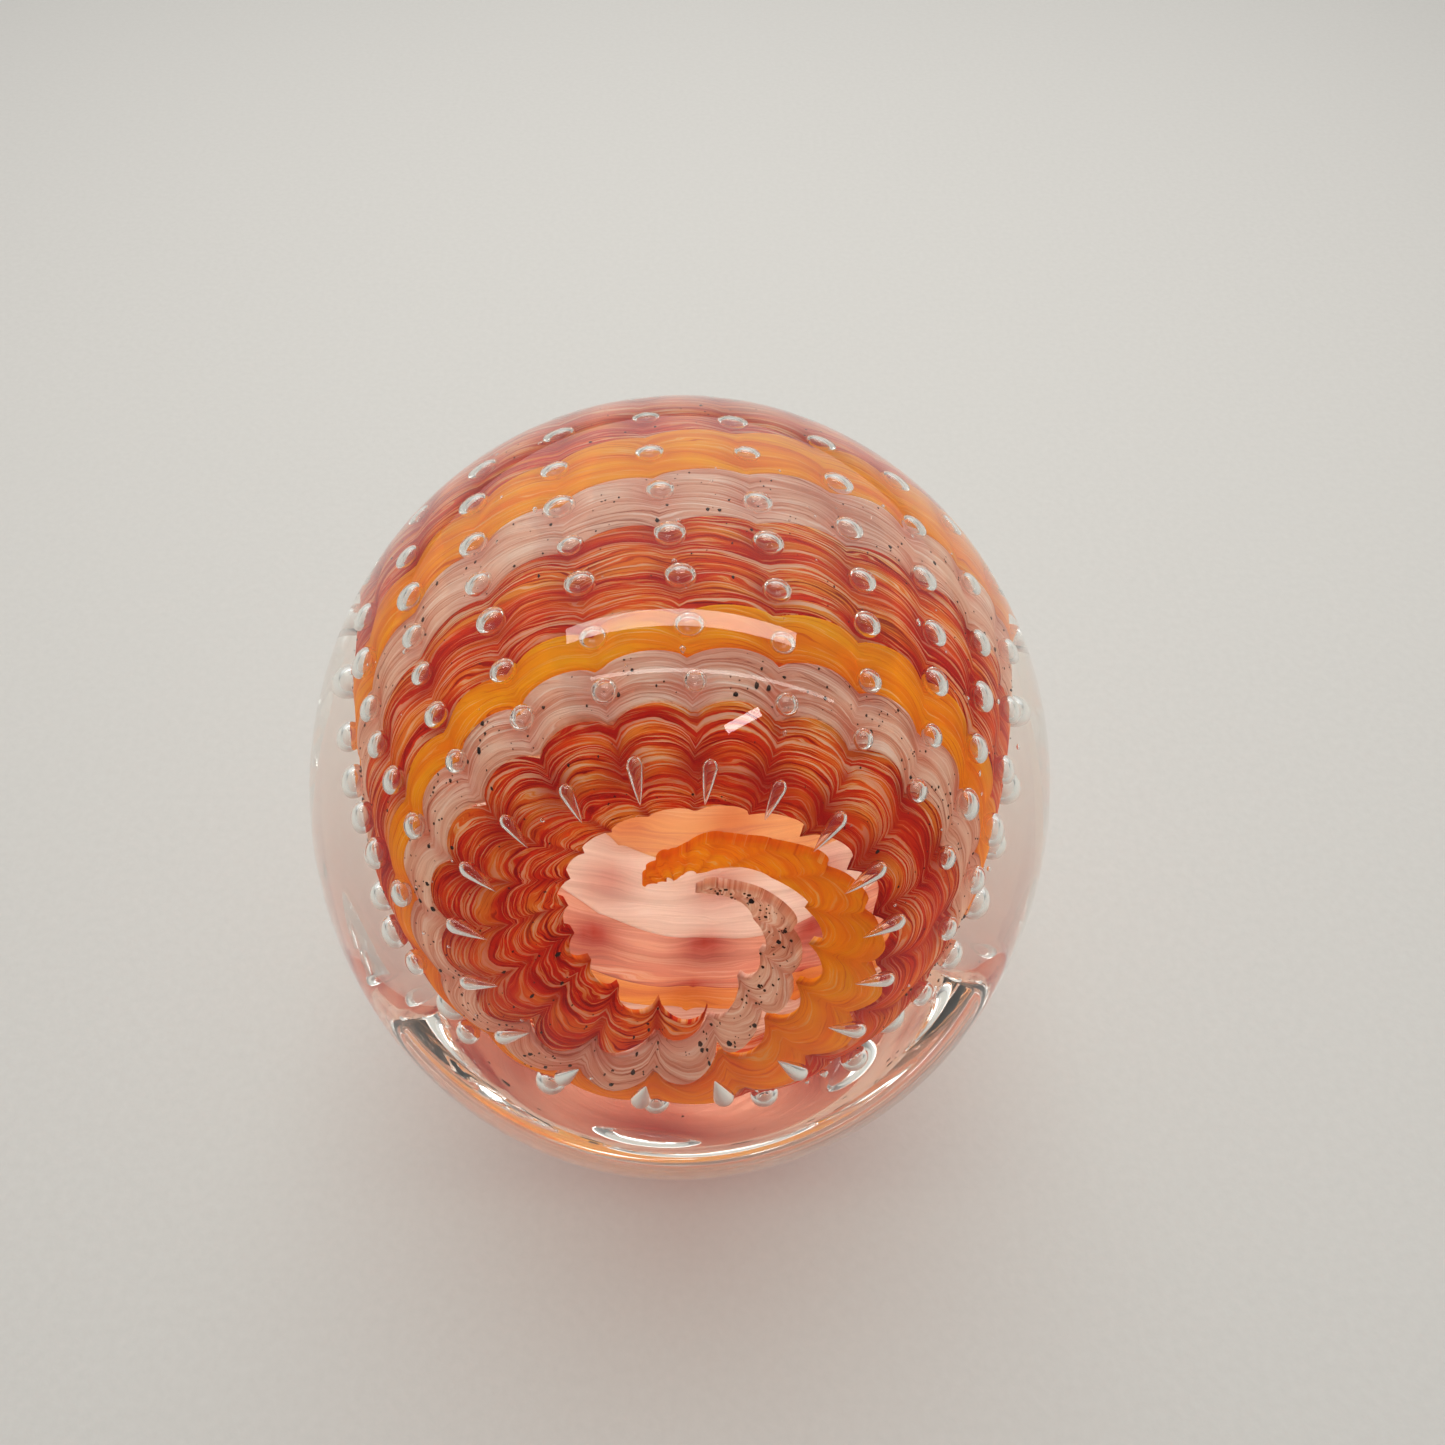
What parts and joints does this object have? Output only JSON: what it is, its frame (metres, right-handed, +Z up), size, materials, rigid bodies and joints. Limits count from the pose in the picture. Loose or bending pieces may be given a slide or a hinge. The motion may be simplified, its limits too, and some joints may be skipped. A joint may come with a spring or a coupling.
{
  "type": "paperweight",
  "caption": "Egg-shaped glass paperweight on a ground flat: clear casing over a spiral of orange, red and white-pink glass ribbons set with rows of bubbles.",
  "frame": {"origin": "on the ground flat of the base, straight below the middle of the casing", "axes": "+Z up from the ground flat; -Y is the front, which the eye of the swirl faces, rising 10 degrees; +X to the right seen from the front"},
  "size_m": [0.076, 0.0852, 0.0737],
  "materials": {
    "clear_glass": "polished",
    "heart_glass": "polished",
    "orange_glass": "polished",
    "white_glass": "polished",
    "red_glass": "polished"
  },
  "bodies": {
    "root": {"clear_casing": "clear_glass", "clear_heart": "heart_glass", "orange_ribbon": "orange_glass", "white_ribbon": "white_glass", "red_ribbon": "red_glass"}
  },
  "joints": []
}
